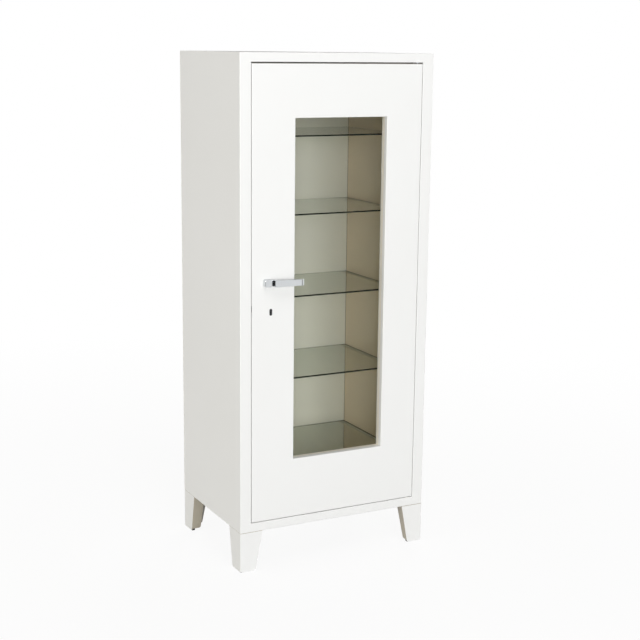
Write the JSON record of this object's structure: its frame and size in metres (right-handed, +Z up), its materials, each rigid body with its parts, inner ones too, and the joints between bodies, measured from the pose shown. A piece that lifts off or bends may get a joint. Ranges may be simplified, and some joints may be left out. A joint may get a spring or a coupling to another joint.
{
  "type": "glass door medical cabinet",
  "caption": "Freestanding white steel cabinet on four tapered legs, with a side-hinged framed glass door, lever handle, two-point bolts, key lock and loose glass shelves.",
  "frame": {"origin": "on the floor, at the middle of the outer box, handle included", "axes": "+X to the right seen from the front, +Y from the door to the back, +Z up"},
  "size_m": [0.7, 0.53, 1.7],
  "materials": {
    "painted_steel": "satin powder coat",
    "zinc_steel": "zinc plated",
    "polished_chrome": "polished chrome plate",
    "clear_glass": "polished float glass",
    "black_rubber": "matt",
    "black_plastic": "moulded",
    "white_nylon": "moulded nylon"
  },
  "bodies": {
    "cabinet": {"left_side_panel": "painted_steel", "right_side_panel": "painted_steel", "left_inner_wall": "painted_steel", "right_inner_wall": "painted_steel", "top_panel": "painted_steel", "ceiling_liner": "painted_steel", "bottom_panel": "painted_steel", "floor_liner": "painted_steel", "back_panel": "painted_steel", "shelf_ledges_left": "painted_steel", "shelf_ledges_right": "painted_steel", "front_left_leg": "painted_steel", "front_right_leg": "painted_steel", "back_left_leg": "painted_steel", "back_right_leg": "painted_steel", "leg_bolts": "zinc_steel", "leg_nuts": "zinc_steel", "hinge_plates": "zinc_steel", "thrust_washer": "zinc_steel", "glass_shelf_1": "clear_glass", "glass_shelf_2": "clear_glass", "glass_shelf_3": "clear_glass", "glass_shelf_4": "clear_glass", "glass_shelf_5": "clear_glass", "door_buffers": "black_rubber", "front_left_foot": "black_plastic", "front_right_foot": "black_plastic", "back_left_foot": "black_plastic", "back_right_foot": "black_plastic", "hinge_bushes": "white_nylon", "shelf_pads": "white_nylon"},
    "door": {"door_outer_skin": "painted_steel", "door_inner_panel": "painted_steel", "glazing_frame": "painted_steel", "door_glass": "clear_glass", "glass_gaskets": "black_rubber", "service_cover": "painted_steel", "door_screws": "zinc_steel", "pivot_blocks": "zinc_steel", "upper_hinge_pin": "zinc_steel", "lower_hinge_pin": "zinc_steel", "handle_rose": "polished_chrome", "spindle_bush": "white_nylon", "mechanism_case": "zinc_steel", "rod_guides": "white_nylon", "lock_case": "zinc_steel", "key_post": "zinc_steel", "keyhole_escutcheon": "black_plastic", "glazing_bead_left": "painted_steel", "glazing_bead_right": "painted_steel", "glazing_bead_bottom": "painted_steel", "glazing_bead_top": "painted_steel"},
    "handle": {"lever_handle": "polished_chrome", "handle_spindle": "zinc_steel", "cam_plate": "zinc_steel", "cam_pins": "zinc_steel"},
    "top_rod": {"top_bolt_rod": "zinc_steel"},
    "bottom_rod": {"bottom_bolt_rod": "zinc_steel"},
    "key_bolt": {"lock_bolt": "zinc_steel"}
  },
  "joints": [
    {"name": "door_swing", "type": "hinge", "parent": "cabinet", "child": "door", "pos_m": [0.293, -0.228, 0.9185], "axis": [0, 0, 1], "range_deg": [0, 115]},
    {"name": "handle_turn", "type": "hinge", "parent": "door", "child": "handle", "pos_m": [-0.257, -0.235, 0.9745], "axis": [0, -1, 0], "range_deg": [0, 90]},
    {"name": "top_rod_slide", "type": "slide", "parent": "door", "child": "top_rod", "axis": [0, 0, 1], "range_m": [0, 0.02546]},
    {"name": "bottom_rod_slide", "type": "slide", "parent": "door", "child": "bottom_rod", "axis": [0, 0, -1], "range_m": [0, 0.02546]},
    {"name": "key_bolt_slide", "type": "slide", "parent": "door", "child": "key_bolt", "axis": [-1, 0, 0], "range_m": [0, 0.012]}
  ],
  "couplings": [
    {"joint": "top_rod_slide", "follows": "handle_turn", "m_per_rad": 0.016206},
    {"joint": "bottom_rod_slide", "follows": "handle_turn", "m_per_rad": 0.016206}
  ]
}
